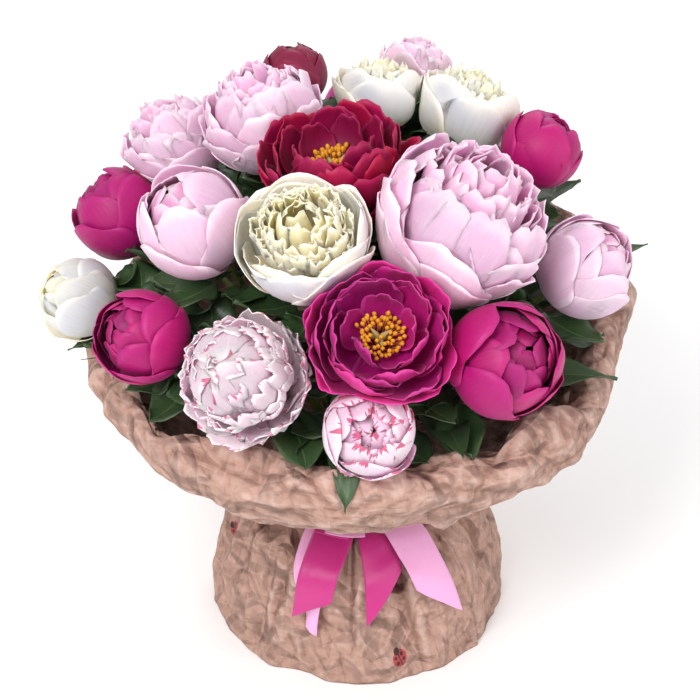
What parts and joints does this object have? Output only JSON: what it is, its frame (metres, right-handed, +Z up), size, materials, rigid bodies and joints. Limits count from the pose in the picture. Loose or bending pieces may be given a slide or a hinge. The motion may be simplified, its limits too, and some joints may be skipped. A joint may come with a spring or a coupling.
{
  "type": "bunch of peonies",
  "caption": "Dome-shaped hand-tied bunch of cut peonies in white, blush, magenta and crimson, standing on its spiralled stems in a flared kraft paper wrap with satin ribbons.",
  "frame": {"origin": "on the surface that the bunch stands on, under the middle of its overall width and depth", "axes": "+Z up along the bound stems, -Y towards the front, where the ribbon tails hang, +X to the right as seen from the front"},
  "size_m": [0.403, 0.3712, 0.3983],
  "materials": {
    "crimson_petals": "soft satin petal",
    "white_petals": "soft matte petal",
    "blush_petals": "soft satin petal",
    "pale_petals": "soft matte petal with red flecks",
    "magenta_petals": "soft satin petal",
    "maroon_petals": "soft satin petal",
    "stems": "smooth green stem",
    "leaves": "waxy leaf",
    "twine": "twisted natural fibre",
    "kraft_paper": "crumpled uncoated paper",
    "magenta_satin": "satin weave",
    "pink_satin": "satin weave"
  },
  "bodies": {
    "root": {"crimson_open_bloom": "crimson_petals", "crimson_open_stem": "stems", "white_cup_bloom": "white_petals", "white_cup_stem": "stems", "big_pink_bloom": "blush_petals", "big_pink_stem": "stems", "magenta_open_bloom": "magenta_petals", "magenta_open_stem": "stems", "pink_left_bloom": "blush_petals", "pink_left_stem": "stems", "pale_ruffled_bloom": "pale_petals", "pale_ruffled_stem": "stems", "pink_top_left_bloom": "blush_petals", "pink_top_left_stem": "stems", "pink_back_left_bloom": "blush_petals", "pink_back_left_stem": "stems", "magenta_left_bloom": "magenta_petals", "magenta_left_stem": "stems", "white_left_bloom": "white_petals", "white_left_stem": "stems", "magenta_low_left_bloom": "magenta_petals", "magenta_low_left_stem": "stems", "streaked_front_bloom": "blush_petals", "streaked_front_stem": "stems", "magenta_right_bloom": "magenta_petals", "magenta_right_stem": "stems", "pink_right_bloom": "blush_petals", "pink_right_stem": "stems", "magenta_top_right_bloom": "magenta_petals", "magenta_top_right_stem": "stems", "white_top_right_bloom": "white_petals", "white_top_right_stem": "stems", "white_top_bloom": "white_petals", "white_top_stem": "stems", "maroon_back_bloom": "maroon_petals", "maroon_back_stem": "stems", "pink_back_bloom": "blush_petals", "pink_back_stem": "stems", "rear_left_bloom": "pale_petals", "rear_left_stem": "stems", "rear_middle_bloom": "magenta_petals", "rear_middle_stem": "stems", "rear_right_bloom": "blush_petals", "rear_right_stem": "stems", "rear_far_left_bloom": "crimson_petals", "rear_far_left_stem": "stems", "leaf_front": "leaves", "leaf_front_left": "leaves", "leaf_front_right": "leaves", "leaf_right_low": "leaves", "leaf_right_high": "leaves", "leaf_left_low": "leaves", "leaf_left_high": "leaves", "leaf_back_left": "leaves", "leaf_back_middle": "leaves", "leaf_back_right": "leaves", "binding_twine": "twine", "kraft_wrap": "kraft_paper", "magenta_ribbon": "magenta_satin", "pink_ribbon": "pink_satin"}
  },
  "joints": []
}
